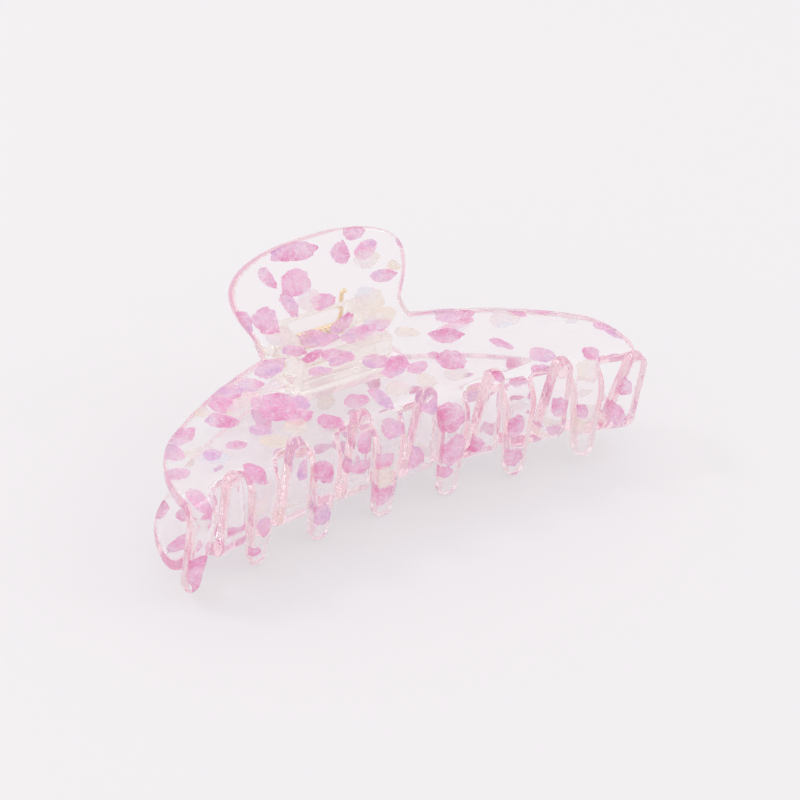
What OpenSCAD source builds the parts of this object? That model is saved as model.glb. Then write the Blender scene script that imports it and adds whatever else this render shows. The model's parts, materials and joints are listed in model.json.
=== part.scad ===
// Claw clip for hair: two sprung jaws cut from clear sheet and bent, each with a
// thumb tab and a row of seven teeth, joined by a hinge pin and a torsion spring.
// The clip lies closed on its side: teeth toward -Y, thumb tabs toward +Y.

/* [Sheet] */
// Length over the wing ends
clip_len = 110; // [100:1:120]
// Thickness of the sheet
sheet_t = 3.4; // [3:0.1:3.6]
// Outer face of the neck above the middle plane
neck_rise = 8.7; // [8.4:0.1:9.2]
// How far the neck lies ahead of the hinge axis
neck_ahead = 6.5; // [6.3:0.1:7]
// Half width of the neck
neck_half_w = 17.5; // [16:0.1:20]
// Rise of the body plate above the middle plane, in degrees
body_rise = 4; // [3:0.5:5]
// Length of the flat body plate along the centre line
body_len = 23.8; // [22:0.1:25]
// Slope of the shoulders where they leave the neck, in degrees
shoulder_angle = 16; // [14:0.5:18]
// Radius of the shoulders
shoulder_r = 150; // [130:5:200]

/* [Thumb tab] */
// Angle of the tab above the middle plane, in degrees
tab_angle = 52; // [48:1:55]
// Length of the flat tab
tab_len = 17.8; // [15:0.1:20]
// Half width of the tab at its widest
tab_half_w = 20.7; // [19:0.1:23]
// Radius of the hollow side of the waist bend
waist_r = 4; // [3:0.5:5]

/* [Teeth] */
// Spacing of the teeth at their roots
root_pitch = 15.2; // [15:0.1:15.3]
// Spacing of the teeth at their tips
tip_pitch = 15.7; // [15.4:0.1:15.8]
// Half width of a tooth at its root
root_half_w = 3.7; // [3.2:0.1:3.8]
// Radius of a tooth's tip
tip_r = 2; // [1.6:0.1:2.1]
// Outer radius of the bend between body and teeth
bend_r = 7; // [6:0.5:8]
// How far the teeth lean back toward the hinge, in degrees
tooth_lean = 0; // [0:0.5:4]
// Length of the straight part of the middle teeth
tooth_len = 20.1; // [17:0.1:21]
// Radius of the bow that the row of teeth follows
bow_r = 240; // [200:5:300]
// How much shorter the teeth are 50 mm from the middle
end_short = 3.1; // [0:0.1:4]
// How much further out the tip of the end tooth leans
end_splay = 1; // [0:0.1:1.5]

/* [Hinge] */
// Length of the hinge block along the axis
block_w = 22; // [21:0.1:24]
// Thickness of each hinge ear
ear_t = 2.3; // [2:0.1:2.6]
// Radius of each hinge ear
ear_r = 3; // [2.8:0.1:3.2]
// Radius of the hinge pin
pin_r = 0.9; // [0.8:0.05:1]
// Radius of the spring wire
wire_r = 0.5; // [0.4:0.05:0.55]
// Mean radius of the spring coil
coil_r = 2.1; // [1.9:0.05:2.2]
// Turns of the spring coil
coil_turns = 10; // [8:1:10]

/* [Resting] */
// Tilt of the closed clip as it lies on its tab and teeth, in degrees
rest_tilt = 9.69; // [8:0.01:13]
// Height of the hinge axis above the table
axis_height = 22.58; // [20:0.01:26]
// How far the hinge axis lies behind the middle of the clip's footprint
axis_back = 15.6; // [10:0.01:20]

/* [Hidden] */

CLEAR_FLAKE = "#f3c6e2";
CLEAR_RESIN = "#efe6e2";
GOLD = "#d9a441";

TEETH = 7;
ARC_STEPS = 6;
BEND_STEP = 4;                      // degrees between points of a bend
FIT = 0.01;                         // radial room of the fixed end of the pin
RUNNING = 0.05;                     // radial room of the turning ears
GAP = 0.3;                          // room between neighbouring ears
STOP_GAP = 0.15;                    // each stop face stands this far off the middle plane
JOIN = 0.1;                         // neighbouring stretches of the sheet share this much

half_len = clip_len / 2;
waist_turn = tab_angle + body_rise;
bend_turn = 90 + body_rise + tooth_lean;
slot_turn = 24;                     // the slots end this far round the bend
slot_top = -0.5;                    // the comb reaches above the slots' ends
fillet_r = 2;
row_shift = 0.25;                   // each row sits a quarter of a pitch off the middle
free_end_r = 11;                    // back curve of the free wing end
free_corner_r = 3.6;                // its front corner
tooth_end_r = 14;                   // back curve of the wing end with the last tooth
tooth_corner_r = 3;
tooth_end_cut = 1;                  // that wing end is this much shorter
axis_ahead = body_len + bow_r;      // axis of the bowed sweep, ahead of the neck
sweep_angle = 34;

wall_front = -11.5;                 // front face of the stop wall
wall_back = -8.7;
wall_tall = 5;                      // up into the pad
pad_end = 1.1;                      // the pad and the ears end this far behind the axis
pad_under = [[wall_front, 3.8], [-5.5, 3.6], [-2, 4.8], [pad_end, 8.2]];
block_top = 13;                     // above the sheet, which trims the block
ear_flare = [[pad_end, 9], [pad_end, block_top], [-6, block_top], [-6, 5.5]];
ear_gap_in = block_w / 2 - 2 * ear_t - GAP;
pin_head_r = 1.6;
pin_head_t = 0.75;
pin_start = -block_w / 2 - 0.15;    // underside of the pin's head
pin_end = block_w / 2 + 0.3;
leg_len = 11;
leg_swing = 3.1;                    // each leg leans this far ahead, in degrees

function lerp(a, b, s) = a + (b - a) * s;
function arc(c, r, from, to, n) = [for (i = [0:n]) c + r * [cos(lerp(from, to, i / n)), sin(lerp(from, to, i / n))]];
function reversed(list) = [for (i = [len(list) - 1:-1:0]) list[i]];

// A point of the flat pattern, pushed ahead by the bow of the body
function bowed(p) = [p[0], p[1] + p[0] * p[0] / (2 * bow_r) * p[1] / body_len];

// Wing outline from the neck to the front, on +x, with distance ahead as +y: the shoulder
// arc runs into the end arc, whose centre c lies on the line through both
function wing(reach, end_r, corner_r) =
    let (o = [neck_half_w - shoulder_r * sin(shoulder_angle), shoulder_r * cos(shoulder_angle)],
         x = reach - end_r,
         c = [x, o[1] - sqrt(pow(shoulder_r - end_r, 2) - pow(x - o[0], 2))],
         touch = atan2(c[1] - o[1], c[0] - o[0]),
         k = [reach - corner_r, c[1]])
    concat([[neck_half_w, -JOIN]],
           [for (p = arc(o, shoulder_r, shoulder_angle - 90, touch, ARC_STEPS)) bowed(p)],
           [for (i = [1:ARC_STEPS * 2]) bowed(arc(c, end_r, touch, 0, ARC_STEPS * 2)[i])],
           [for (p = arc(k, corner_r, 0, 90, ARC_STEPS)) bowed(p)]);

function flipped(list) = [for (p = list) [-p[0], p[1]]];

// The body seen square on: free end on +x, the end with the last tooth on -x
module body_outline() {
    right = wing(half_len, free_end_r, free_corner_r);
    left = flipped(wing(half_len - tooth_end_cut, tooth_end_r, tooth_corner_r));
    mirror([0, 1]) polygon(concat(right, reversed(left)));
}

// The thumb tab seen square on, from the waist at y = 0 to its rounded end
module tab_outline() {
    wide_at = tab_len / 2;
    power = 2 / 2.3;
    side = [for (i = [0:ARC_STEPS])
        [neck_half_w + (tab_half_w - neck_half_w) * sin(90 * i / ARC_STEPS), wide_at * i / ARC_STEPS]];
    top = [for (i = [1:ARC_STEPS * 6 - 1])
        let (a = 180 * i / (ARC_STEPS * 6))
        [tab_half_w * sign(cos(a)) * pow(abs(cos(a)), power),
         wide_at + (tab_len - wide_at) * pow(sin(a), power)]];
    polygon(concat([[neck_half_w, -JOIN]], side, top, reversed(flipped(side)), [[-neck_half_w, -JOIN]]));
}

// Sheet round the bend, as [distance ahead, height], from turn a0 to a1, then straight
function bend_points(a0, a1, r) =
    [for (a = [a0:BEND_STEP:a1]) [body_len + r * sin(a), -bend_r + r * cos(a)]];

// A bent strip of the sheet's section, in the radius and height of the bowed sweep
module strip_section(a1, straight, lead) {
    dir = [cos(bend_turn), -sin(bend_turn)];
    out = [sin(bend_turn), cos(bend_turn)];
    outer = bend_points(0, a1, bend_r);
    inner = bend_points(0, a1, bend_r - sheet_t);
    mid = [body_len, -bend_r] + (bend_r - sheet_t / 2) * out + (straight - sheet_t / 2) * dir;
    tip = straight > 0 ? [for (i = [0:ARC_STEPS * 2])
        let (a = 90 - 180 * i / (ARC_STEPS * 2))
        mid + sheet_t / 2 * (sin(a) * out + cos(a) * dir)] : [];
    path = concat([[body_len - lead, 0]], outer, tip, reversed(inner), [[body_len - lead, -sheet_t]]);
    polygon([for (p = path) [axis_ahead - p[0], p[1]]]);
}

module bowed_sweep() {
    translate([0, -axis_ahead, 0]) rotate([0, 0, 90 - sweep_angle / 2])
        rotate_extrude(angle = sweep_angle, $fn = 360) children();
}

function root_x(k) = (k - (TEETH - 1) / 2 - row_shift) * root_pitch;
function tip_x(k) = (k - (TEETH - 1) / 2 - row_shift) * tip_pitch - (k == 0 ? end_splay : 0);
function tip_z(k) = -bend_r * (1 - cos(bend_turn)) - tooth_len * sin(bend_turn)
    + end_short * pow(tip_x(k) / 50, 2);

// One side of tooth k seen from the front: root fillet, flank, round tip
function tooth_side(k, s) =
    let (a = [root_x(k) + s * root_half_w, slot_top],
         c = [tip_x(k), tip_z(k) + tip_r],
         v = a - c,
         touch = atan2(v[1], v[0]) - s * acos(tip_r / norm(v)),
         t = c + tip_r * [cos(touch), sin(touch)],
         tilt = atan2(t[0] - a[0], a[1] - t[1]),
         f = [a[0] + fillet_r * tan(tilt) + s * fillet_r / cos(tilt), slot_top - fillet_r])
    concat(arc(f, fillet_r, 90, s > 0 ? 180 + tilt : tilt, ARC_STEPS),
           arc(c, tip_r, touch, s > 0 ? -90 : 270, ARC_STEPS));

// The row of teeth seen from the front, hanging from a band
module comb_outline() {
    first = [root_x(0) - root_half_w, 1];
    last = [root_x(TEETH - 1) + root_half_w, 1];
    left = tooth_side(0, -1);
    right = tooth_side(TEETH - 1, 1);
    inner = [for (k = [0:TEETH - 1]) each concat(
        k > 0 ? tooth_side(k, -1) : [for (i = [ARC_STEPS + 1:len(left) - 1]) left[i]],
        k < TEETH - 1 ? [for (i = [1:len(left) - 1]) reversed(tooth_side(k, 1))[i]]
                      : [for (i = [1:ARC_STEPS]) reversed(right)[i]])];
    polygon(concat([first], inner, [last]));
}

// A whole jaw, in the frame of its flat body: neck at the origin, outer face at z = 0
module jaw_sheet() {
    // thumb tab
    translate([0, waist_r * sin(waist_turn), waist_r * (1 - cos(waist_turn))])
        rotate([waist_turn, 0, 0]) translate([0, 0, -sheet_t]) linear_extrude(sheet_t) tab_outline();
    // waist bend
    translate([0, 0, waist_r]) rotate([0, 90, 0]) rotate_extrude(angle = waist_turn, $fn = 96)
        translate([waist_r, -neck_half_w]) square([sheet_t, 2 * neck_half_w]);
    // body plate and the start of the bend
    difference() {
        translate([0, 0, -sheet_t]) linear_extrude(sheet_t) body_outline();
        translate([0, -axis_ahead, -sheet_t - 1]) cylinder(r = bow_r, h = sheet_t + 2, $fn = 360);
    }
    intersection() {
        bowed_sweep() strip_section(slot_turn, 0, 2);
        translate([0, 0, -10]) linear_extrude(20) body_outline();
    }
    // teeth
    intersection() {
        bowed_sweep() strip_section(bend_turn, tooth_len, 2);
        translate([0, -body_len + 3, 0]) rotate([90, 0, 0]) linear_extrude(30) comb_outline();
    }
}

// Everything on the outer side of the sheet's inner face, near the waist
module outside_of_sheet() {
    far = 40;
    translate([-far / 2, 0, waist_r]) rotate([0, 90, 0]) cylinder(r = waist_r + sheet_t, h = far, $fn = 96);
    translate([-far / 2, -far, -sheet_t]) cube([far, far, far]);
    translate([0, waist_r * sin(waist_turn), waist_r * (1 - cos(waist_turn))])
        rotate([waist_turn, 0, 0]) translate([-far / 2, 0, -sheet_t]) cube([far, far, far]);
}

module at_jaw() {
    translate([0, -neck_ahead, neck_rise]) rotate([-body_rise, 0, 0]) children();
}

module ear(x) {
    translate([x, 0, 0]) rotate([90, 0, 90]) linear_extrude(ear_t)
        polygon(concat([[-ear_r, 0], [ear_r, 0]], ear_flare));
    translate([x, 0, 0]) rotate([0, 90, 0]) cylinder(r = ear_r, h = ear_t, $fn = 48);
}

// Pad, stop wall and two ears of a jaw, about the hinge axis
module hinge_block(bore_r) {
    difference() {
        union() {
            translate([-block_w / 2, 0, 0]) rotate([90, 0, 90]) linear_extrude(block_w)
                polygon(concat(pad_under, [[pad_end, block_top], [wall_front, block_top]]));
            translate([-block_w / 2, wall_front, STOP_GAP])
                cube([block_w, wall_back - wall_front, wall_tall]);
            ear(-block_w / 2);
            ear(ear_gap_in);
        }
        at_jaw() outside_of_sheet();
        translate([-block_w, 0, 0]) rotate([0, 90, 0]) cylinder(r = bore_r, h = 2 * block_w, $fn = 48);
    }
}

module as_upper() { translate([0, axis_back, axis_height]) rotate([rest_tilt, 0, 0]) children(); }
module as_lower() { as_upper() rotate([0, 180, 0]) children(); }

module upper_half() { color(CLEAR_FLAKE) as_upper() at_jaw() jaw_sheet(); }
module lower_half() { color(CLEAR_FLAKE) as_lower() at_jaw() jaw_sheet(); }
module upper_hinge_block() { color(CLEAR_RESIN) as_upper() hinge_block(pin_r + RUNNING); }
module lower_hinge_block() { color(CLEAR_RESIN) as_lower() hinge_block(pin_r + FIT); }

module hinge_pin() {
    color(GOLD) as_upper() {
        translate([pin_start, 0, 0]) rotate([0, 90, 0])
            cylinder(r = pin_r, h = pin_end - pin_start, $fn = 48);
        translate([pin_start - pin_head_t, 0, 0]) rotate([0, 90, 0])
            cylinder(r = pin_head_r, h = pin_head_t, $fn = 48);
    }
}

// The closed coil as one ribbed tube, with a leg up to each thumb tab
module torsion_spring() {
    pitch = 2 * wire_r * 1.04;
    half = coil_turns * pitch / 2;
    ribs = [for (i = [0:coil_turns]) each
        [for (a = [-72:24:72]) [coil_r + wire_r * cos(a), -half + i * pitch + wire_r * sin(a)]]];
    color(GOLD) as_upper() {
        rotate([0, 90, 0]) rotate_extrude($fn = 96)
            polygon(concat([[coil_r - wire_r, -half - wire_r]], ribs, [[coil_r - wire_r, half + wire_r]]));
        for (s = [0, 1]) rotate([0, 180 * s, 0])
            translate([half, coil_r, 0]) rotate([-leg_swing, 0, 0]) cylinder(r = wire_r, h = leg_len, $fn = 24);
    }
}

lower_half();
lower_hinge_block();
hinge_pin();
torsion_spring();
upper_half();
upper_hinge_block();
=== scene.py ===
# %% [markdown]
# # A claw clip in clear sheet with petal flakes
# The clip is two bent jaws of clear cellulose acetate, a glued hinge block in each, a pin and a
# spring. The CAD model already holds every size, so this lesson starts from it and adds what a
# CAD solid can't show: polished edges, flakes cast inside the sheet, a wound spring and light.

# %% Load the frame
import json
from math import asin, atan2, cos, pi, radians, sin, sqrt
from random import Random

import bpy
from mathutils import Matrix, Vector


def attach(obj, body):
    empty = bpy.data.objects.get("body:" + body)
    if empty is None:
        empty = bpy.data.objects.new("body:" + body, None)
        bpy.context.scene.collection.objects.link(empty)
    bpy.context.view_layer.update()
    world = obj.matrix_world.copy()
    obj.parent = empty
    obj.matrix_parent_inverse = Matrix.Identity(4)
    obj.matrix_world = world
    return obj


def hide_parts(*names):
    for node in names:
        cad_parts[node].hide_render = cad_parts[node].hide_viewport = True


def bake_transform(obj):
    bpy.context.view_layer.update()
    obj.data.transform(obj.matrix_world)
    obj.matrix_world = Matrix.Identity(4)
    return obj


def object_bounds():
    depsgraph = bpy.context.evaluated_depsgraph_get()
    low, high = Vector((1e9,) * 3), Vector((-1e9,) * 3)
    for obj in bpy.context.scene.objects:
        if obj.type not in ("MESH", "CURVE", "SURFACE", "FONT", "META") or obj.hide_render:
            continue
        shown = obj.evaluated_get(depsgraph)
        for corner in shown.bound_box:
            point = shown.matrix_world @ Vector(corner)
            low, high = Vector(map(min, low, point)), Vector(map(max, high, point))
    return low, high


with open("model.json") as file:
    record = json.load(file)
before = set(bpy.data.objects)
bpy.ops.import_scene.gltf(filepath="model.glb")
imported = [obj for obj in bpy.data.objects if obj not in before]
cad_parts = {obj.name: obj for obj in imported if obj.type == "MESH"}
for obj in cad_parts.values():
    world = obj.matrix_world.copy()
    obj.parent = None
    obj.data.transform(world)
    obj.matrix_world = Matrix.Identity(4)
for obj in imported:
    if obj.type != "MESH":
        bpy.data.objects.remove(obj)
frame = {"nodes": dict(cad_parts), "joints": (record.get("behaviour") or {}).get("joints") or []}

MM = 0.001
cad_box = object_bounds()

# %% [markdown]
# ## Working like a person at the screen
# An operator acts on whatever is selected, so every step first selects one piece and nothing
# else. `in_edit_mode` then runs edit operators on the whole of it.

# %% Small helpers for selecting and finishing a piece
def only(piece):
    """Selects one piece and makes it the active one."""
    bpy.ops.object.select_all(action="DESELECT")
    piece.select_set(True)
    bpy.context.view_layer.objects.active = piece
    return piece


def in_edit_mode(piece, *steps):
    """Runs edit-mode operators on the whole of a piece."""
    only(piece)
    bpy.ops.object.mode_set(mode="EDIT")
    bpy.ops.mesh.select_all(action="SELECT")
    for step in steps:
        step()
    bpy.ops.object.mode_set(mode="OBJECT")


def modify(piece, kind, **settings):
    """Adds one modifier and applies it."""
    only(piece)
    modifier = piece.modifiers.new(kind.lower(), kind)
    for name, value in settings.items():
        setattr(modifier, name, value)
    bpy.ops.object.modifier_apply(modifier=modifier.name)


def place_in_mesh(piece):
    """Moves the object's place and turn into its mesh."""
    only(piece)
    bpy.ops.object.transform_apply(location=True, rotation=True, scale=True)


def joined(pieces, name):
    """Joins several pieces into one."""
    bpy.ops.object.select_all(action="DESELECT")
    for piece in pieces:
        piece.select_set(True)
    bpy.context.view_layer.objects.active = pieces[0]
    bpy.ops.object.join()
    pieces[0].name = name
    pieces[0].data.name = name
    return pieces[0]


# The frame arrives selected, so it is let go of before anything new is made.
bpy.ops.object.select_all(action="DESELECT")
print("helpers ready")

# %% [markdown]
# ## Shader maths in plain Python
# A material is a graph of nodes. Wrapping a socket in a small class lets `a * b + c` build the
# Math nodes, which keeps each finish as short as the idea behind it.

# %% The socket class and the finish class
class Value:
    """A socket that Python's arithmetic works on."""

    def __init__(self, finish, socket):
        self.finish = finish
        self.socket = socket

    def _math(self, operation, *values):
        return self.finish.node("ShaderNodeMath", {"operation": operation}, dict(enumerate(values)))

    def __add__(self, other):
        return self._math("ADD", self, other)

    def __radd__(self, other):
        return self._math("ADD", other, self)

    def __mul__(self, other):
        return self._math("MULTIPLY", self, other)

    def __rmul__(self, other):
        return self._math("MULTIPLY", other, self)


class Finish:
    """A material with one Principled shader, and one method that makes every other node."""

    # A Mix node's colour sockets share their names with others, so they go by number.
    MIX_FACTOR = 0
    MIX_A = 6
    MIX_B = 7
    MIX_RESULT = 2

    def __init__(self, name, **constants):
        self.material = bpy.data.materials.new(name)
        self.material.use_nodes = True
        self.tree = self.material.node_tree
        self.shader = self.tree.nodes["Principled BSDF"]
        self.output = self.tree.nodes["Material Output"]
        for socket, value in constants.items():
            self.shader.inputs[socket.replace("_", " ")].default_value = value

    def node(self, kind, settings=None, inputs=None, output=0):
        """Makes a node, sets it up, feeds its sockets and returns one output."""
        made = self.tree.nodes.new(kind)
        for name, value in (settings or {}).items():
            if name == "stops":
                self._set_stops(made.color_ramp, value)
            else:
                setattr(made, name, value)
        for key, value in (inputs or {}).items():
            if isinstance(value, Value):
                self.tree.links.new(value.socket, made.inputs[key])
            else:
                made.inputs[key].default_value = value
        return Value(self, made.outputs[output])

    @staticmethod
    def _set_stops(ramp, stops):
        while len(ramp.elements) < len(stops):
            ramp.elements.new(0.5)
        for element, (at, colour) in zip(ramp.elements, stops):
            element.position = at
            element.color = (*colour, 1.0)

    def feed(self, socket, value):
        """Links a value to one of the Principled shader's sockets."""
        self.tree.links.new(value.socket, self.shader.inputs[socket])

    def noise(self, scale, detail, distortion=0.0):
        """Noise on Object coordinates. scale is in features a metre."""
        place = self.node("ShaderNodeTexCoord", output="Object")
        return self.node("ShaderNodeTexNoise", None, {
            "Vector": place, "Scale": scale, "Detail": detail, "Distortion": distortion}, "Fac")

    def ramp(self, value, stops):
        """A colour for each value, from stops of a position and a colour."""
        return self.node("ShaderNodeValToRGB", {"stops": stops}, {"Fac": value})

    def mix(self, factor, a, b):
        """The colour a where the factor is 0, and the colour b where it is 1."""
        return self.node("ShaderNodeMix", {"data_type": "RGBA"}, {
            self.MIX_FACTOR: factor, self.MIX_A: a, self.MIX_B: b}, self.MIX_RESULT)

    def bump(self, height, distance, strength):
        """Makes the surface look raised where the height is large."""
        self.feed("Normal", self.node("ShaderNodeBump", None, {
            "Height": height, "Distance": distance, "Strength": strength}))


print("shader maths ready")

# %% [markdown]
# ## The view
# The clip is seen from above its teeth, a little to the left, through a long lens from about
# three quarters of a metre, so that its lines stay nearly parallel.

# %% Camera
VIEW_AZIMUTH = radians(-30.7)
VIEW_ELEVATION = radians(34.9)
VIEW_ROLL = radians(0.8)
VIEW_DISTANCE = 0.775
LENS = 164.2
AIM_ACROSS = 10.0 * MM
AIM_BACK = -1.4 * MM
AIM_UP = 0.31 * cad_box[1][2]

aim = Vector((AIM_ACROSS, AIM_BACK, AIM_UP))
away = Vector((sin(VIEW_AZIMUTH) * cos(VIEW_ELEVATION),
               -cos(VIEW_AZIMUTH) * cos(VIEW_ELEVATION), sin(VIEW_ELEVATION)))
camera_data = bpy.data.cameras.new("camera")
camera_data.lens = LENS
camera = bpy.data.objects.new("camera", camera_data)
bpy.context.collection.objects.link(camera)
facing = away.to_track_quat("Z", "Y").to_matrix().to_4x4()
camera.matrix_world = (Matrix.Translation(aim + VIEW_DISTANCE * away) @ facing
                       @ Matrix.Rotation(VIEW_ROLL, 4, "Z"))
bpy.context.scene.camera = camera
print("camera at", tuple(round(v, 3) for v in camera.matrix_world.translation))

# %% [markdown]
# ## Floor and light
# Clear plastic shows only what surrounds it, so the surroundings are the lighting: a pale floor
# that runs out of view, an even white sky, and two soft boxes for the highlights. The floor
# glows a little, which keeps the shadow as pale as it is under clear plastic. Light has to cross
# many clear walls here, so the paths may be longer than Blender's defaults.

# %% Floor, sky and soft boxes
FLOOR_SIZE = 6.0
FLOOR_COLOUR = (0.36, 0.35, 0.358, 1.0)
FLOOR_GLOW = (0.50, 0.485, 0.495, 1.0)
SKY_COLOUR = (0.97, 0.965, 0.97, 1.0)
SKY_STRENGTH = 0.99
CLEAR_WALLS = 24


def soft_box(name, place, size, watts, colour):
    """A square area lamp that faces the clip."""
    data = bpy.data.lights.new(name, "AREA")
    data.size = size
    data.energy = watts
    data.color = colour
    lamp = bpy.data.objects.new(name, data)
    bpy.context.collection.objects.link(lamp)
    lamp.location = place
    lamp.rotation_euler = (Vector(place) - aim).to_track_quat("Z", "Y").to_euler()
    return lamp


bpy.ops.mesh.primitive_plane_add(size=FLOOR_SIZE)
floor = bpy.context.object
floor.name = "floor"
floor_finish = Finish("floor_paper", Base_Color=FLOOR_COLOUR, Roughness=0.85,
                      Emission_Color=FLOOR_GLOW, Emission_Strength=1.0)
floor.data.materials.append(floor_finish.material)

world = bpy.data.worlds.new("sky")
world.use_nodes = True
world.node_tree.nodes["Background"].inputs["Color"].default_value = SKY_COLOUR
world.node_tree.nodes["Background"].inputs["Strength"].default_value = SKY_STRENGTH
bpy.context.scene.world = world

boxes = [
    soft_box("key_box", place=(-0.45, 0.35, 0.75), size=0.16, watts=0.9, colour=(1.0, 0.985, 0.99)),
    soft_box("fill_box", place=(0.6, -0.5, 0.6), size=0.2, watts=0.4, colour=(1.0, 0.99, 1.0)),
]
bpy.context.scene.view_settings.view_transform = "Standard"
bpy.context.scene.cycles.max_bounces = CLEAR_WALLS
bpy.context.scene.cycles.transmission_bounces = CLEAR_WALLS
bpy.context.scene.cycles.glossy_bounces = CLEAR_WALLS
bpy.context.scene.cycles.transparent_max_bounces = 2 * CLEAR_WALLS
print("floor, sky and", len(boxes), "soft boxes")

# %% [markdown]
# ## The clear sheet
# Acetate is clear with a breath of pink. It is polished after cutting, so its roughness is low
# and its faces wave very slightly. Where you look along the sheet, at an edge, light travels
# far through it: a faint haze in the volume gives those edges a milky line. The haze is drawn
# as absorption plus a painted rosy glow, which stands in for the light that it scatters. The cut
# rim is polished less than the faces and looks rosy, so it has a finish of its own.

# %% Finish: clear acetate
ACETATE_IOR = 1.47
WAVES = 0.25 * MM
# The colour of the painted glow that the sheet's haze gives off in place of scattered light.
ROSE_PAINTED_GLOW = (0.95, 0.76, 0.80, 1.0)
ROSE_DENSITY = 20.0
BLACK = (0.0, 0.0, 0.0, 1.0)

clear_sheet = Finish("clear_acetate", Base_Color=(1.0, 0.985, 0.993, 1.0), Roughness=0.02,
                     IOR=ACETATE_IOR, Transmission_Weight=1.0)
clear_sheet.bump(clear_sheet.noise(55.0, detail=1.0), distance=WAVES, strength=0.25)


def haze_with_painted_glow(finish, colour, density):
    """Gives a clear finish a faint haze: the volume absorbs, and gives off a painted glow in the
    haze's colour in place of the light that haze scatters where light comes from all sides. The
    further a ray runs inside, the more of its colour is the glow's. The density is per metre."""
    take = finish.node("ShaderNodeVolumeAbsorption", None, {"Color": BLACK, "Density": density})
    # The emission is painted light: a glow in place of the light that the haze scatters.
    glow_shader = finish.node("ShaderNodeEmission", None, {"Color": colour, "Strength": density})
    both = finish.node("ShaderNodeAddShader", None, {0: take, 1: glow_shader})
    finish.tree.links.new(both.socket, finish.output.inputs["Volume"])


clear_rim = Finish("rosy_rim", Base_Color=(1.0, 0.81, 0.85, 1.0), Roughness=0.1,
                   IOR=ACETATE_IOR, Transmission_Weight=1.0)
clear_rim.bump(clear_rim.noise(90.0, detail=1.0), distance=WAVES, strength=0.25)
for finish in (clear_sheet, clear_rim):
    haze_with_painted_glow(finish, ROSE_PAINTED_GLOW, ROSE_DENSITY)
    print("made", finish.material.name)

# %% [markdown]
# ## The two jaws
# Each jaw is one cut and bent sheet, and the CAD solid already has its outline. The real piece
# is tumbled until its edges are round. A bevel folds over where so many tight corners meet, and
# clear plastic shows every fold. So a copy of the CAD mesh is remade in small even cells by a
# voxel remesh, and those are relaxed until every edge is soft.

# %% Jaws from the CAD solids
WELD = 0.003 * MM
FLAT = radians(1)
FINE_SHARE = 0.6
RELAX = 0.5
LAST_PASSES = 3
JAW_CELL = 0.4 * MM
JAW_PASSES = 40
RIM_DEPTH = 3.8 * MM
START_INSIDE = 0.02 * MM


def joined_copy(node, name):
    """A copy of a CAD node with its loose triangles merged and its flat areas dissolved."""
    piece = bpy.data.objects.new(name, frame["nodes"][node].data.copy())
    bpy.context.collection.objects.link(piece)
    in_edit_mode(piece,
                 lambda: bpy.ops.mesh.remove_doubles(threshold=WELD),
                 lambda: bpy.ops.mesh.dissolve_limited(angle_limit=FLAT))
    piece.data.materials.clear()
    return piece


def tumble(piece, cell, passes):
    """Rounds every edge as tumbling does: even fine cells are relaxed, then made coarser."""
    modify(piece, "REMESH", mode="VOXEL", voxel_size=FINE_SHARE * cell)
    modify(piece, "SMOOTH", factor=RELAX, iterations=passes)
    modify(piece, "REMESH", mode="VOXEL", voxel_size=cell, use_smooth_shade=True)
    modify(piece, "SMOOTH", factor=RELAX, iterations=LAST_PASSES)


def finish_rim(piece, finish, depth):
    """Gives the cut rim its own finish: the faces with more than that depth behind them."""
    piece.data.materials.append(finish.material)
    rim = len(piece.data.materials) - 1
    count = 0
    for face in piece.data.polygons:
        inward = -face.normal
        hit, place, _, _ = piece.ray_cast(face.center + START_INSIDE * inward, inward)
        if hit and (place - face.center).length > depth:
            face.material_index = rim
            count += 1
    print(piece.name, "has", count, "rim faces")


for side in ("upper", "lower"):
    jaw = joined_copy(side + "_half", side + "_jaw_sheet")
    tumble(jaw, JAW_CELL, JAW_PASSES)
    jaw.data.materials.append(clear_sheet.material)
    finish_rim(jaw, clear_rim, RIM_DEPTH)
    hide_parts(side + "_half")
    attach(jaw, side + "_jaw")
    print(jaw.name, len(jaw.data.polygons), "faces")

# %% [markdown]
# ## Finding a place in the bent sheet
# Flakes lie inside the sheet, so each one is drawn flat and then bent with it. `in_sheet` takes
# a place on the flat pattern and follows the sheet: back round the waist and up the thumb tab
# when `along` is below zero, ahead over the body, round the bend and down the teeth otherwise.

# %% The sheet as a function, in millimetres
SHEET = 3.4
NECK_RISE = 8.7
NECK_AHEAD = 6.5
BODY_RISE = radians(4)
BODY_LEN = 23.8
BOW_R = 240.0
WAIST_R = 4.0
WAIST_TURN = radians(56)
BEND_R = 7.0
BEND_TURN = radians(94)
REST_TILT = radians(9.69)
WAIST_ARC = (WAIST_R + SHEET / 2) * WAIST_TURN
BEND_ARC = (BEND_R - SHEET / 2) * BEND_TURN
PATTERN_START = -23
PATTERN_END = 52
PATTERN_HALF = 54

hinge = Vector(frame["joints"][0]["pos_m"])
about_hinge = Matrix.Translation(hinge) @ Matrix.Rotation(REST_TILT, 4, "X")
half_turn = Matrix.Rotation(pi, 4, "Y")
jaw_place = (Matrix.Scale(MM, 4) @ Matrix.Translation((0, -NECK_AHEAD, NECK_RISE))
             @ Matrix.Rotation(-BODY_RISE, 4, "X"))
TO_FRAME = {"upper": about_hinge @ jaw_place, "lower": about_hinge @ half_turn @ jaw_place}


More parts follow.
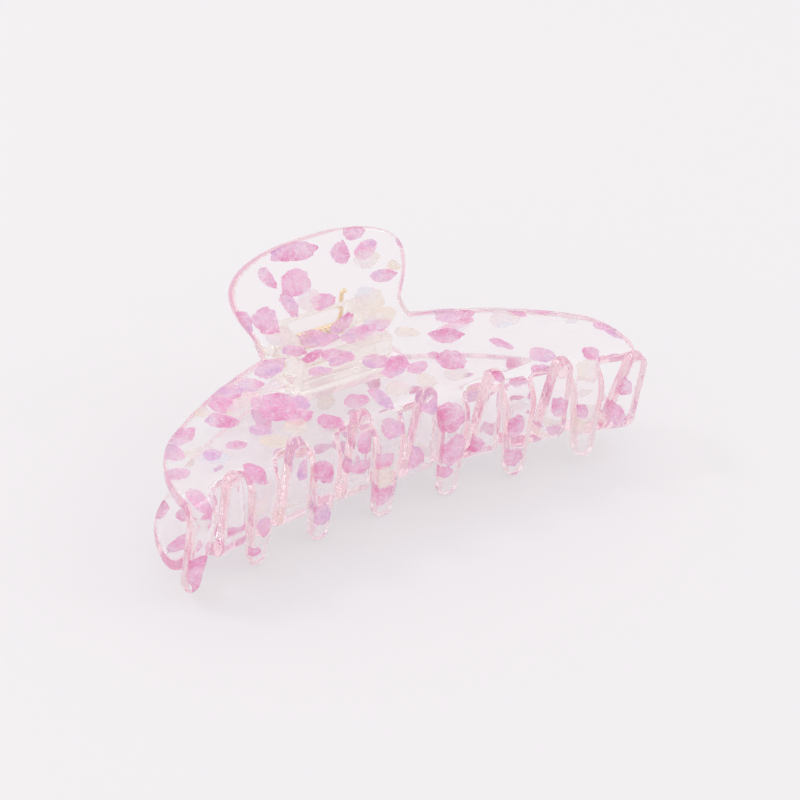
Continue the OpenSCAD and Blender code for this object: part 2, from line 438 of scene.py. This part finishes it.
def in_sheet(across, along, depth):
    """A point of the jaw's own frame, from its place on the flat pattern and its depth."""
    if along < 0:
        turn = min(-along / WAIST_ARC, 1) * WAIST_TURN
        rest = max(-along - WAIST_ARC, 0)
        r = WAIST_R + depth
        return Vector((across, r * sin(turn) + rest * cos(turn),
                       WAIST_R - r * cos(turn) + rest * sin(turn)))
    bow_centre = BODY_LEN + BOW_R
    swing = asin(max(-1, min(1, across / BOW_R)))
    front = bow_centre - BOW_R * cos(swing)
    if along < front:
        return Vector((across, -along, -depth))
    turn = min((along - front) / BEND_ARC, 1) * BEND_TURN
    rest = max(along - front - BEND_ARC, 0)
    r = BEND_R - depth
    ahead = BODY_LEN + r * sin(turn) + rest * cos(turn)
    height = -BEND_R + r * cos(turn) - rest * sin(turn)
    reach = bow_centre - ahead
    return Vector((reach * sin(swing), reach * cos(swing) - bow_centre, height))


for along in (PATTERN_START, PATTERN_END):
    print(along, "mm along lies at", [round(v, 1) for v in in_sheet(0, along, 0)])

# %% [markdown]
# ## Petal flakes
# The sheet is cast with torn petals of coloured film in it. One flake starts as a circle, is
# subdivided, and its rim is drawn to straight tears between a few seeded corners, so that no
# two match. It gets a slight curl, is bent with the sheet, and becomes a film by Solidify.
# The flakes that catch the eye are listed one by one; the rest are scattered with a fixed seed.

# %% One flake
FILM = 0.07 * MM
RIM_POINTS = 30
CORNERS = (5, 8)
CORNER_SLIP = 0.32
CORNER_REACH = (0.8, 1.12)
FRAYS = (5, 9, 13)
FRAY_HEIGHT = (0.01, 0.03)
ROUNDNESS = 0.35
MOST_TAPER = 0.35
MOST_CURL = 0.3
FOLDS = (1.5, 3.5)
FOLD_HEIGHT = 0.08
PARALLEL = 1e-9
CENTRE = 1e-6


def torn_outline(rng):
    """Returns the radius of a torn rim at any angle: straight tears between a few corners."""
    count = rng.randint(*CORNERS)
    corners = [(2 * pi * (i + rng.uniform(-CORNER_SLIP, CORNER_SLIP)) / count,
                rng.uniform(*CORNER_REACH)) for i in range(count)]
    points = [Vector((r * cos(a), r * sin(a))) for a, r in corners]
    frays = [(n, rng.uniform(0, 2 * pi), rng.uniform(*FRAY_HEIGHT)) for n in FRAYS]

    def radius(angle):
        ray = Vector((cos(angle), sin(angle)))
        reach = 1.0
        for start, end in zip(points, points[1:] + points[:1]):
            edge = end - start
            across = ray.cross(edge)
            if abs(across) < PARALLEL:
                continue
            t, u = start.cross(edge) / across, start.cross(ray) / across
            if t > 0 and 0 <= u <= 1:
                reach = t
        fray = 1 + sum(height * sin(n * angle + phase) for n, phase, height in frays)
        return ((1 - ROUNDNESS) * reach + ROUNDNESS) * fray

    return radius


def flake(rng, across, along, length, width, turn, depth, side):
    """One torn petal, of the given size in millimetres, bent with the sheet of that jaw."""
    bpy.ops.mesh.primitive_circle_add(vertices=RIM_POINTS, radius=1, fill_type="TRIFAN")
    piece = bpy.context.object
    in_edit_mode(piece, lambda: bpy.ops.mesh.subdivide(number_cuts=1))
    rim = torn_outline(rng)
    taper = rng.uniform(0.0, MOST_TAPER)
    curl = rng.uniform(-MOST_CURL, MOST_CURL)
    folds = rng.uniform(*FOLDS)
    fold_phase = rng.uniform(0, 2 * pi)
    c, s = cos(radians(turn)), sin(radians(turn))
    for v in piece.data.vertices:
        x, y = v.co.x, v.co.y
        r = sqrt(x * x + y * y)
        swell = rim(atan2(y, x)) if r > CENTRE else 1
        x, y = x * swell * length / 2, y * swell * (1 - taper * x) * width / 2
        ripple = sin(folds * 2 * x / length * pi + fold_phase)
        lift = curl * (r * r - 0.5) + FOLD_HEIGHT * ripple
        v.co = TO_FRAME[side] @ in_sheet(across + x * c - y * s, along + x * s + y * c,
                                         depth + lift)
    return piece


print("a flake has", RIM_POINTS, "points round its rim before it is subdivided")

# %% [markdown]
# The listed flakes are given as across, along, length, width and turn. Across is measured
# from the middle and is above zero on the wing that ends without a tooth. Along runs from the
# neck toward the teeth, and the thumb tab has places below zero. Sizes are in millimetres and
# turns in degrees.

# %% The flakes that catch the eye
PETALS = [
    # thumb tab
    (-5, -21, 12, 5, 8), (-11.5, -17, 6.5, 3, 60), (-5, -14.3, 7.5, 7, 20), (-8, -10.5, 7, 3.5, 70),
    (-14, -8.5, 8.5, 6, 60), (6, -18, 5.5, 4.5, 70), (12.5, -17, 6.5, 4, -20), (10, -21.5, 5.5, 4, 10),
    (15, -10.5, 7, 2.8, 10), (21, -16.5, 4, 3.5, 60), (-19.3, -9.5, 6, 4, 70), (0, -9, 6, 4, 0),
    (21.6, -12, 5, 2.5, 80),
    # waist and neck
    (-4, -1, 9, 5, 20), (4.5, 1.5, 10, 5, -10), (-3, 5.5, 8, 5, 30), (2, -2.5, 8, 4, -30),
    (10, 0.5, 6, 4, 0), (-11, 1, 6, 4, 40), (-8, 3.5, 6, 3, -20), (-9, 8, 6, 3.4, 10),
    (-4, 7.5, 5.5, 3, -10),
    # body, free wing
    (24.5, 4, 6, 4.5, 0), (28, 5.8, 4.5, 3, 10), (25, 7.5, 9, 3, -5), (20.5, 10.5, 8, 5.5, 20),
    (38.5, 9.5, 5, 3, 60), (44, 12, 6, 4, 20), (30, 17.5, 6, 2.4, 60), (46, 27.5, 4.4, 4, 0),
    (52.5, 22.5, 5.5, 2.4, 50), (54, 24.8, 5, 2.2, 60), (17.5, 18, 7, 6.5, 30), (36, 24, 6, 5, 40),
    # body, middle
    (3, 11.5, 7, 5, 20), (6.5, 13.5, 7, 5.5, -30), (4.5, 16, 6, 3.5, 0), (10, 16.5, 6, 4, -20),
    (-1.6, 21, 8, 4, 80), (-7, 20.5, 6.5, 5, 20), (34, 29, 7, 5.5, 60),
    # body, wing with the last tooth
    (-18, 3.5, 9, 5, -20), (-24, 6, 7, 4.5, 20), (-30, 7, 8, 5, -10), (-32.5, 9.5, 6, 5, 50),
    (-35.5, 14.5, 8, 5.5, 40), (-44, 14.5, 7, 4.5, -20), (-48.5, 17.5, 6.5, 5.5, 70),
    (-21.5, 14, 8, 6, 20), (-18, 16, 7, 5, -40), (-24.5, 17, 7, 5, 60), (-20, 19.5, 7, 5, 0),
    (-26, 13.5, 6, 4.5, 90), (-15, 23.5, 6, 4.5, 30), (-42, 23, 4.2, 3.8, 0), (-29, 20, 6, 3.5, 30),
    (-50, 24, 5, 4, 0), (-36, 22, 5, 3, 20),
    # teeth
    (-50, 33, 8, 3.5, 80), (-52, 50.5, 12, 5.5, 85), (-36, 30, 6, 4, 60), (-35.5, 43, 7, 4, 80),
    (-20, 34, 7, 4, 70), (-20.5, 45, 8, 5, 60), (-5, 36, 6, 4.5, 90), (-4, 47, 6, 4.5, 90),
    (-3, 29, 6, 4, 20), (11.5, 31, 9, 6, 85), (12, 39, 10, 5.5, 90), (11, 46, 5, 4, 0),
    (26.5, 38, 7, 5, 80), (27.5, 48, 6, 4.5, 70), (42, 40, 6, 3, 60), (-37, 50, 4, 3, 0),
]
PEARLS = [
    (11.5, -15, 6.5, 4.5, 10), (10, -6, 8, 7, 20), (-2.8, -10, 6, 5, 20), (11, -1, 9, 6, -20),
    (-11, -4, 9, 5, 30), (5, 4, 7, 4, 0), (14, 5, 6, 4, 30), (34.5, 11, 7, 6, 20),
    (23, 8.5, 9, 4, 0), (47, 18, 3, 2, 0), (9.5, 21, 5, 4.5, 40), (3.5, 20, 6, 5, 30),
    (16, 22, 6, 4, 0), (-37.5, 8.5, 5, 4, 60), (-42.5, 22.5, 10, 5.5, 30), (-28, 24, 7, 4, 30),
    (-30, 12, 8, 4, -30), (-22, 22, 6, 5, 0), (-5, 40, 7, 4, 80),
    (44, 31.5, 6.5, 5.5, 20), (-36, 37, 6, 4, 90), (42, 45, 6, 4, 60), (-22, 39, 5, 3, 0),
]
LOWER_PETALS = [
    (-1.5, 35, 9, 6, 70), (10.5, 44, 7, 4.5, 80), (11, 36.5, 6, 4, 20), (-17, 34, 7, 4, 60),
    (-38, 32.5, 7, 5, 30), (-52, 33, 5, 3, 60), (-51, 38, 8, 3.5, 75), (-51, 47, 6, 3.5, 80),
    (39.5, 28, 6, 4, 20), (26, 45, 7, 4.5, 80), (50, 17, 6, 4, 60), (46, 21, 5, 4, 0),
    (50, 27, 8, 4, 10),
]
print(len(PETALS + LOWER_PETALS), "petals and", len(PEARLS), "pearly flakes placed by hand")

# %% [markdown]
# The real flakes were cut with the sheet, so a flake that crosses an outline ends at it. A
# boolean with a slightly shrunken copy of the jaw does the same, and keeps each film a little
# inside the clear faces.

# %% Helpers that fill a jaw
SKIN = 0.4 * MM
SHALLOW = 0.55
DEEP = 2.85
LAYERS = 9
LAYER_STEP = 4
SLIMNESS = (0.5, 0.85)
SHARP = radians(38)


def depth_of(i):
    """Spreads neighbouring flakes over layers of the sheet, so that few of them meet."""
    return SHALLOW + (DEEP - SHALLOW) * (i * LAYER_STEP % LAYERS) / (LAYERS - 1)


def scattered(rng, count, sizes):
    """Places and sizes of flakes thrown over the whole pattern."""
    for _ in range(count):
        length = rng.uniform(*sizes)
        yield (rng.uniform(-PATTERN_HALF, PATTERN_HALF), rng.uniform(PATTERN_START, PATTERN_END),
               length, length * rng.uniform(*SLIMNESS), rng.uniform(0, 180))


def shrunken(side):
    """A copy of a jaw, a little smaller all round, to trim the flakes with."""
    cutter = joined_copy(side + "_half", "trim")
    in_edit_mode(cutter, lambda: bpy.ops.transform.shrink_fatten(value=-SKIN))
    return cutter


def flakes(name, side, seed, placed, count, sizes, finish):
    """All flakes of one colour in one jaw, trimmed to its outline."""
    rng = Random(seed)
    places = placed + list(scattered(rng, count, sizes))
    pieces = [flake(rng, *place, depth_of(i), side) for i, place in enumerate(places)]
    piece = joined(pieces, name)
    modify(piece, "SOLIDIFY", thickness=FILM, offset=0)
    cutter = shrunken(side)
    modify(piece, "BOOLEAN", operation="INTERSECT", solver="EXACT", object=cutter)
    bpy.data.objects.remove(cutter)
    only(piece)
    bpy.ops.object.shade_smooth_by_angle(angle=SHARP)
    piece.data.materials.clear()
    piece.data.materials.append(finish.material)
    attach(piece, side + "_jaw")
    print(name, "from", len(places), "flakes:", len(piece.data.polygons), "faces")


print("flakes lie in", LAYERS, "layers,", SHALLOW, "to", DEEP, "mm deep")

# %% [markdown]
# ## Two kinds of film
# Petal film runs from magenta to lilac with pale veins, and pearly film from cream to a cool
# white. Both are cloudy, so noise feeds Alpha and the clear sheet shows through in places. Light
# that crosses a film from behind makes it look lit; that light is painted, as a glow of a little
# of the film's own colour.

# %% Petal film and pearly film
CREASES = 0.6 * MM

# Both films give off a painted glow of their own colour, in place of light from behind.
petal_film = Finish("petal_film", Roughness=0.35, Emission_Strength=0.2)
tone = petal_film.ramp(petal_film.noise(170.0, 2.0), [
    (0.32, (0.90, 0.26, 0.58)), (0.44, (0.94, 0.43, 0.72)),
    (0.56, (0.97, 0.64, 0.84)), (0.68, (0.84, 0.50, 0.82))])
vein = petal_film.ramp(petal_film.noise(420.0, 4.0, distortion=2.0), [
    (0.46, (0.0, 0.0, 0.0)), (0.50, (0.8, 0.8, 0.8)), (0.54, (0.0, 0.0, 0.0))])
veined = petal_film.mix(vein, tone, (1.0, 0.90, 0.96, 1.0))
petal_film.feed("Base Color", veined)
petal_film.feed("Emission Color", veined)
petal_film.feed("Alpha", petal_film.noise(240.0, 3.0) * 0.9 + 0.12)
petal_film.bump(petal_film.noise(500.0, 4.0, distortion=1.5), distance=CREASES, strength=0.7)

pearl_film = Finish("pearl_film", Roughness=0.3, Emission_Strength=0.22)
pearl = pearl_film.ramp(pearl_film.noise(110.0, 1.0), [
    (0.35, (0.98, 0.88, 0.74)), (0.46, (0.96, 0.90, 0.84)), (0.56, (0.97, 0.86, 0.90)),
    (0.66, (0.87, 0.91, 0.98))])
pearl_film.feed("Base Color", pearl)
pearl_film.feed("Emission Color", pearl)
pearl_film.feed("Alpha", pearl_film.noise(240.0, 3.0) * 0.6 + 0.08)
pearl_film.bump(pearl_film.noise(500.0, 3.0, distortion=1.0), distance=CREASES, strength=0.7)
print("made", petal_film.material.name, "and", pearl_film.material.name)

# %% [markdown]
# In the upper jaw a few small flakes are scattered among the placed ones. Most of the lower
# jaw is hidden, so nearly all of its flakes are scattered.

# %% Fill both jaws with flakes
flakes("upper_petals", "upper", seed=11, placed=PETALS, count=10, sizes=(2.0, 4.5),
       finish=petal_film)
flakes("upper_pearls", "upper", seed=12, placed=PEARLS, count=5, sizes=(2.5, 5.0),
       finish=pearl_film)
flakes("lower_petals", "lower", seed=13, placed=LOWER_PETALS, count=75, sizes=(3.0, 8.0),
       finish=petal_film)
flakes("lower_pearls", "lower", seed=14, placed=[], count=36, sizes=(3.0, 8.0),
       finish=pearl_film)

# %% [markdown]
# ## Hinge blocks
# A cast resin block is glued inside each jaw. It has a pad that fits the waist, a stop wall,
# and two ears with a bore for the pin. The CAD solids have all of that, so copies of them get
# tumbled edges and a clear resin that is cloudier than the sheet; its cloud is drawn as
# absorption plus a painted cream glow. Tumbling closes a small hole a little, so the bores are
# reamed afterwards: close to the pin below, freer above.

# %% Hinge blocks
RESIN_IOR = 1.49
# The colour of the painted glow that the resin's haze gives off in place of scattered light.
CREAM_PAINTED_GLOW = (0.88, 0.82, 0.78, 1.0)
CREAM_DENSITY = 110.0
BLOCK_CELL = 0.24 * MM
BLOCK_PASSES = 8
BORES = {"upper": 0.95 * MM, "lower": 0.91 * MM}
REAMER_LENGTH = 24 * MM
ROUND_SIDES = 48

clear_resin = Finish("clear_resin", Base_Color=(0.985, 0.965, 0.95, 1.0), Roughness=0.08,
                     IOR=RESIN_IOR, Transmission_Weight=1.0)
clear_resin.bump(clear_resin.noise(300.0, 2.0), distance=0.2 * MM, strength=0.3)
haze_with_painted_glow(clear_resin, CREAM_PAINTED_GLOW, CREAM_DENSITY)


def ream(block, radius):
    """Cuts the pin's bore true again, because tumbling closes a small hole."""
    bpy.ops.mesh.primitive_cylinder_add(vertices=ROUND_SIDES, radius=radius, depth=REAMER_LENGTH,
                                        rotation=(0, pi / 2, 0))
    reamer = bpy.context.object
    place_in_mesh(reamer)
    reamer.data.transform(about_hinge)
    modify(block, "BOOLEAN", operation="DIFFERENCE", solver="EXACT", object=reamer)
    bpy.data.objects.remove(reamer)
    only(block)
    bpy.ops.object.shade_smooth_by_angle(angle=SHARP)


for side in ("upper", "lower"):
    block = joined_copy(side + "_hinge_block", side + "_hinge_knuckles")
    tumble(block, BLOCK_CELL, BLOCK_PASSES)
    ream(block, BORES[side])
    block.data.materials.append(clear_resin.material)
    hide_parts(side + "_hinge_block")
    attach(block, side + "_jaw")
    print(block.name, len(block.data.polygons), "faces")

# %% [markdown]
# ## Hinge pin
# The pin is drawn rod with a domed head at one end. It starts as a cylinder; the cap at the head
# end is extruded and scaled, one step at a time, into the head, and a small bevel rounds the
# edges of both ends.

# %% Hinge pin
PIN_R = 0.9 * MM
HEAD_R = 1.6 * MM
PIN_START = -11.15 * MM
PIN_END = 11.3 * MM
HEAD_STEPS = [(0.0, HEAD_R), (0.35, HEAD_R), (0.2, 0.86 * HEAD_R), (0.12, 0.6 * HEAD_R)]
CAP_NORMAL = -0.9
PIN_BEVEL = 0.1 * MM
BEVEL_STEPS = 2


def pick_faces(piece, test):
    """Selects the faces that pass a test, and leaves the piece ready for edit mode."""
    only(piece)
    bpy.ops.object.mode_set(mode="EDIT")
    bpy.ops.mesh.select_mode(type="FACE")
    bpy.ops.mesh.select_all(action="DESELECT")
    bpy.ops.object.mode_set(mode="OBJECT")
    for face in piece.data.polygons:
        face.select = test(face)


def round_edges(piece, width, segments):
    """Rounds the sharp edges and shades the piece smooth, with flat faces kept flat."""
    modify(piece, "BEVEL", width=width, segments=segments, limit_method="ANGLE",
           angle_limit=SHARP, use_clamp_overlap=False, harden_normals=True)
    only(piece)
    bpy.ops.object.shade_smooth_by_angle(angle=SHARP)
    modify(piece, "WEIGHTED_NORMAL", keep_sharp=True)


def gold_finish(name, dark, light):
    """Polished plated metal with slight streaks in its colour."""
    gold = Finish(name, Metallic=1.0, Roughness=0.22)
    gold.feed("Base Color", gold.mix(gold.noise(400.0, 4.0), dark, light))
    gold.bump(gold.noise(1500.0, 3.0), distance=0.1 * MM, strength=0.3)
    return gold


gold_wire = gold_finish("gold_wire", (0.92, 0.72, 0.42, 1.0), (0.99, 0.86, 0.60, 1.0))
pale_gold = gold_finish("pale_gold", (0.94, 0.90, 0.84, 1.0), (0.99, 0.96, 0.92, 1.0))

bpy.ops.mesh.primitive_cylinder_add(
    vertices=ROUND_SIDES, radius=PIN_R, depth=PIN_END - PIN_START,
    location=((PIN_START + PIN_END) / 2, 0, 0), rotation=(0, pi / 2, 0))
pin = bpy.context.object
pin.name = "domed_hinge_pin"
place_in_mesh(pin)
pick_faces(pin, lambda face: face.normal.x < CAP_NORMAL)
bpy.ops.object.mode_set(mode="EDIT")
radius, at = PIN_R, PIN_START
for step, to_radius in HEAD_STEPS:
    bpy.ops.mesh.extrude_region_move(TRANSFORM_OT_translate={"value": (-step * MM, 0, 0)})
    at -= step * MM
    grow = to_radius / radius
    bpy.ops.transform.resize(value=(1, grow, grow), center_override=(at, 0, 0))
    radius = to_radius
bpy.ops.object.mode_set(mode="OBJECT")
pin.data.transform(about_hinge)
round_edges(pin, PIN_BEVEL, BEVEL_STEPS)
pin.data.materials.append(pale_gold.material)
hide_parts("hinge_pin")
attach(pin, "lower_jaw")
print(pin.name, len(pin.data.polygons), "faces")

# %% [markdown]
# ## Torsion spring
# Ten nearly closed turns of wire sit round the pin between the ears, and a leg runs from each
# end to just short of its own thumb tab. A loop lays the points of the whole wire: leg, turns,
# leg, with a small curl at each leg's end. The wire twists as the jaws open; here it is one fixed
# mesh, attached to neither jaw.

# %% Torsion spring
WIRE_R = 0.5
COIL_R = 2.1
TURNS = 10
LOOSENESS = 1.04
PITCH = 2 * WIRE_R * LOOSENESS
COIL_HALF = TURNS * PITCH / 2
TURN_POINTS = 24
LEG = 10.4
LEG_SWING = radians(3.1)
LEG_POINTS = 8
CURL_R = 0.55
CURL_TURN = 120
CURL_STEP = 20
WIRE_ROUNDNESS = 4
CAP_WELD = 0.001 * MM
WIRE_SHARP = radians(50)


def leg_points():
    """The upper leg from its curled end down to the coil, in millimetres about the axis."""
    top = Vector((COIL_HALF, COIL_R + LEG * sin(LEG_SWING), LEG * cos(LEG_SWING)))
    curl = [top + Vector((CURL_R - CURL_R * cos(a), 0, CURL_R * sin(a)))
            for a in (radians(d) for d in range(CURL_TURN, 0, -CURL_STEP))]
    foot = Vector((COIL_HALF, COIL_R, 0))
    shank = [top.lerp(foot, i / LEG_POINTS) for i in range(LEG_POINTS)]
    return curl + shank


upper_leg = leg_points()
lower_leg = [half_turn @ point for point in upper_leg]
turns = []
for i in range(TURNS * TURN_POINTS + 1):
    angle = 2 * pi * i / TURN_POINTS
    turns.append(Vector((-COIL_HALF + PITCH * i / TURN_POINTS,
                         COIL_R * cos(angle), COIL_R * sin(angle))))
wire_path = lower_leg + turns + upper_leg[::-1]

wire = bpy.data.curves.new("wire", "CURVE")
wire.dimensions = "3D"
wire.bevel_depth = WIRE_R * MM
wire.bevel_resolution = WIRE_ROUNDNESS
wire.use_fill_caps = True
spline = wire.splines.new("POLY")
spline.points.add(len(wire_path) - 1)
for point, place in zip(spline.points, wire_path):
    point.co = (*(about_hinge @ (MM * place)), 1)
spring = bpy.data.objects.new("wound_spring", wire)
bpy.context.collection.objects.link(spring)
only(spring)
bpy.ops.object.convert(target="MESH")
spring = bpy.context.object
in_edit_mode(spring, lambda: bpy.ops.mesh.remove_doubles(threshold=CAP_WELD))
bpy.ops.object.shade_smooth_by_angle(angle=WIRE_SHARP)
spring.data.materials.clear()
spring.data.materials.append(gold_wire.material)
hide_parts("torsion_spring")
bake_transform(spring)
print(spring.name, len(spring.data.polygons), "faces")
